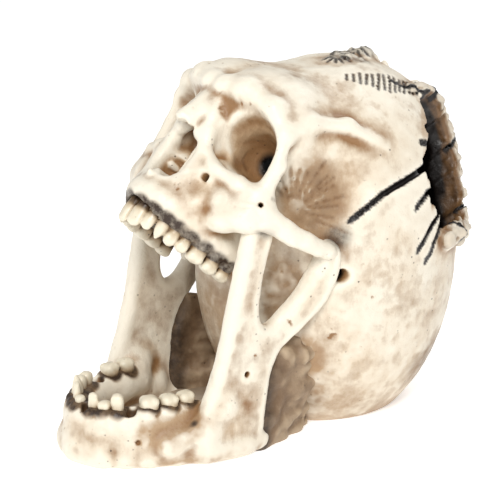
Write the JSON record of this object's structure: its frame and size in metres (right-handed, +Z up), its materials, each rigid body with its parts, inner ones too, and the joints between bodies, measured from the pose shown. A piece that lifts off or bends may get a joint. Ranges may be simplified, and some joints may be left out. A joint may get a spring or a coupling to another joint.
{
  "type": "aquarium bubbling ornament",
  "caption": "Hollow resin skull ornament for an aquarium, tilted back with an open mouth and a broken crown, with a built-in air stone and a swivelling air inlet.",
  "frame": {"origin": "middle of the box at ground level", "axes": "+Z up, the face looks towards -X, the skull's left side is -Y"},
  "size_m": [0.174, 0.0936, 0.1402],
  "materials": {
    "painted_bone": "hand-painted cast resin, ivory with umber wash, satin",
    "painted_floor": "cast resin, smooth, beige-grey wash",
    "bond_putty": "lumpy putty under a dark brown wash",
    "grommet_rubber": "moulded black rubber",
    "fitting_plastic": "moulded black plastic",
    "hose": "clear-grey soft tubing",
    "air_stone": "bonded mineral grit"
  },
  "bodies": {
    "casting": {"skull_casting": "painted_bone", "jaw_casting": "painted_bone", "mouth_floor": "painted_floor", "jaw_bond_left": "bond_putty", "jaw_bond_right": "bond_putty", "inlet_grommet": "grommet_rubber", "inner_hose": "hose", "stone_cradle": "fitting_plastic"},
    "elbow": {"inlet_elbow": "fitting_plastic"},
    "stone": {"air_stone": "air_stone", "stone_nipple": "fitting_plastic"}
  },
  "joints": [
    {"name": "inlet_swivel", "type": "hinge", "parent": "casting", "child": "elbow", "pos_m": [0.0674, 0.0344, 0.02], "axis": [0.7071, 0.7071, 0], "range_deg": [-90, 90]},
    {"name": "stone_pull", "type": "slide", "parent": "casting", "child": "stone", "axis": [-0.7071, -0.7071, 0], "range_m": [0, 0.008]}
  ]
}
